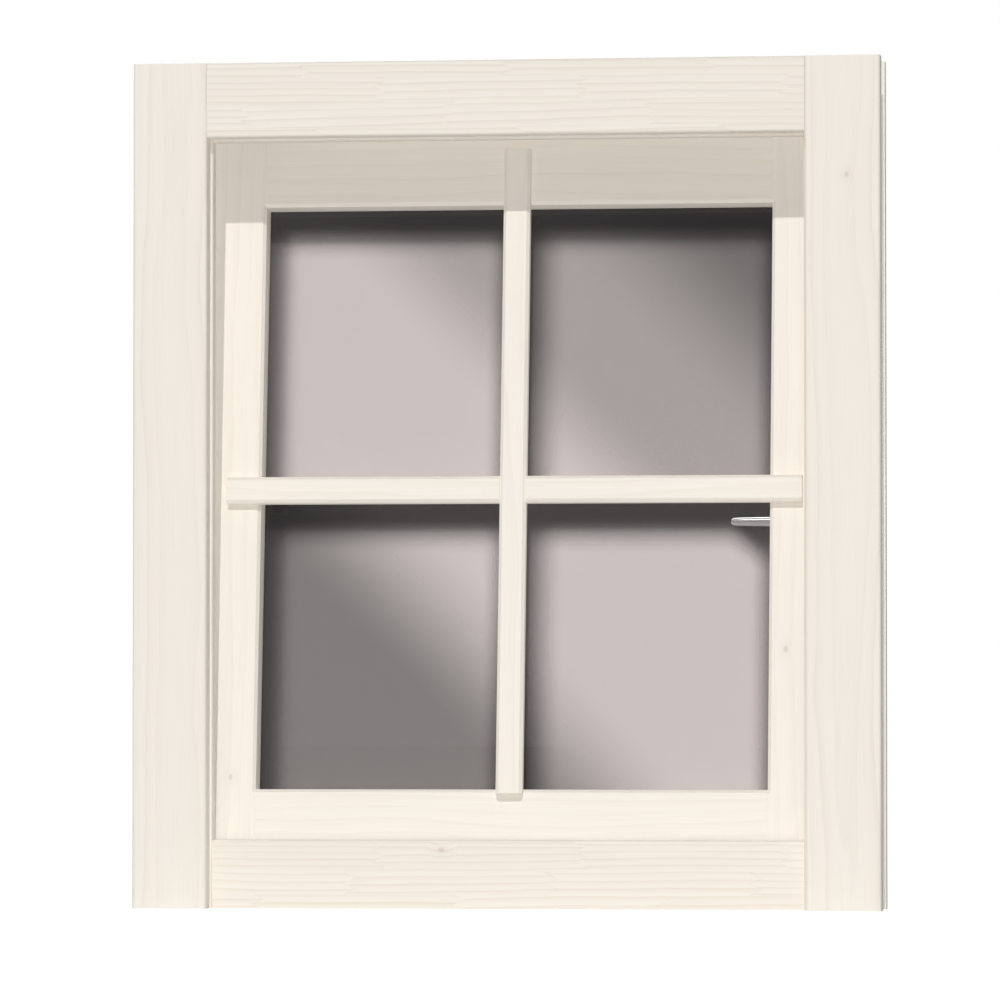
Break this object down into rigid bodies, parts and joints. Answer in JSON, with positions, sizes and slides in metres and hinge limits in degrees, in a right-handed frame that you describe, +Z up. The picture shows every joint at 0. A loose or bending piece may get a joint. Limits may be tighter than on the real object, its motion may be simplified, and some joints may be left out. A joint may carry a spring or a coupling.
{
  "type": "casement window",
  "caption": "Timber tilt-and-turn casement window with a glazing-bar cross, double glazing, lever handle and concealed lock, in a frame that clasps a solid wall.",
  "frame": {"origin": "middle of the sill's underside, in the wall's middle plane", "axes": "+X to the right as seen from outdoors, +Y from outdoors to indoors, +Z up"},
  "size_m": [0.7, 0.1729, 0.79],
  "materials": {
    "casing_wood": "whitewashed spruce, satin stain",
    "frame_wood": "whitewashed spruce, satin stain",
    "sash_wood": "whitewashed spruce, satin stain",
    "glass": "clear float glass, polished",
    "seal": "matt black rubber",
    "tape": "soft black tape",
    "spacer": "black warm-edge plastic",
    "plated_steel": "zinc plated",
    "chrome": "polished",
    "plastic": "moulded"
  },
  "bodies": {
    "frame": {"casing_left": "casing_wood", "casing_right": "casing_wood", "casing_top": "casing_wood", "jamb_left": "frame_wood", "jamb_right": "frame_wood", "head": "frame_wood", "sill": "frame_wood", "inner_casing_left": "casing_wood", "inner_casing_right": "casing_wood", "inner_casing_top": "casing_wood", "frame_seal": "seal", "casing_screws": "plated_steel", "inner_casing_screws": "plated_steel", "frame_screws": "plated_steel", "corner_bearing": "plated_steel", "corner_bearing_pin": "plated_steel", "stay_bearing": "plated_steel", "stay_bearing_pin": "plated_steel", "bearing_screws": "plated_steel", "keeps": "plated_steel", "tilt_keep": "plated_steel", "keep_screws": "plated_steel"},
    "corner_pivot": {"corner_pivot": "plated_steel"},
    "stay": {"stay_arm": "plated_steel", "stay_pin": "plated_steel"},
    "sash": {"sash_stile_left": "sash_wood", "sash_stile_right": "sash_wood", "sash_rail_top": "sash_wood", "sash_rail_bottom": "sash_wood", "glass_outer": "glass", "glass_inner": "glass", "glass_spacer": "spacer", "glass_edge_seal": "seal", "glazing_tape": "tape", "setting_blocks": "plastic", "bead_left": "sash_wood", "bead_right": "sash_wood", "bead_top": "sash_wood", "bead_bottom": "sash_wood", "bead_brads": "plated_steel", "bar_vertical": "sash_wood", "bar_horizontal": "sash_wood", "bar_screws": "plated_steel", "faceplate": "plated_steel", "faceplate_screws": "plated_steel", "gearbox": "plated_steel", "rosette": "plastic", "rosette_screws": "plated_steel", "rosette_cap": "chrome", "sash_hinge": "plated_steel", "tilt_pin": "plated_steel", "stay_guide": "plated_steel", "hardware_screws": "plated_steel"},
    "lock": {"drive_rod": "plated_steel", "lock_cams": "plated_steel"},
    "handle": {"handle_lever": "chrome", "spindle": "plated_steel", "follower": "plated_steel"}
  },
  "joints": [
    {"name": "turn", "type": "hinge", "parent": "frame", "child": "corner_pivot", "pos_m": [-0.3065, 0.056, 0.0435], "axis": [0, 0, 1], "range_deg": [0, 90]},
    {"name": "tilt", "type": "hinge", "parent": "corner_pivot", "child": "sash", "pos_m": [-0.2865, 0.056, 0.0435], "axis": [-1, 0, 0], "range_deg": [-6.3, 0]},
    {"name": "stay_swing", "type": "hinge", "parent": "corner_pivot", "child": "stay", "pos_m": [-0.3065, 0.056, 0.7415], "axis": [0, 0, 1], "range_deg": [-21.95, 0]},
    {"name": "handle_turn", "type": "hinge", "parent": "sash", "child": "handle", "pos_m": [0.2725, 0.08382, 0.36841], "axis": [0, 0.994, -0.1097], "range_deg": [-90, 90]},
    {"name": "lock_slide", "type": "slide", "parent": "sash", "child": "lock", "axis": [0, 0.1097, 0.994], "range_m": [-0.018, 0.018]}
  ],
  "couplings": [
    {"joint": "stay_swing", "follows": "tilt", "ratio": 3.4812},
    {"joint": "lock_slide", "follows": "handle_turn", "m_per_rad": 0.011459}
  ]
}
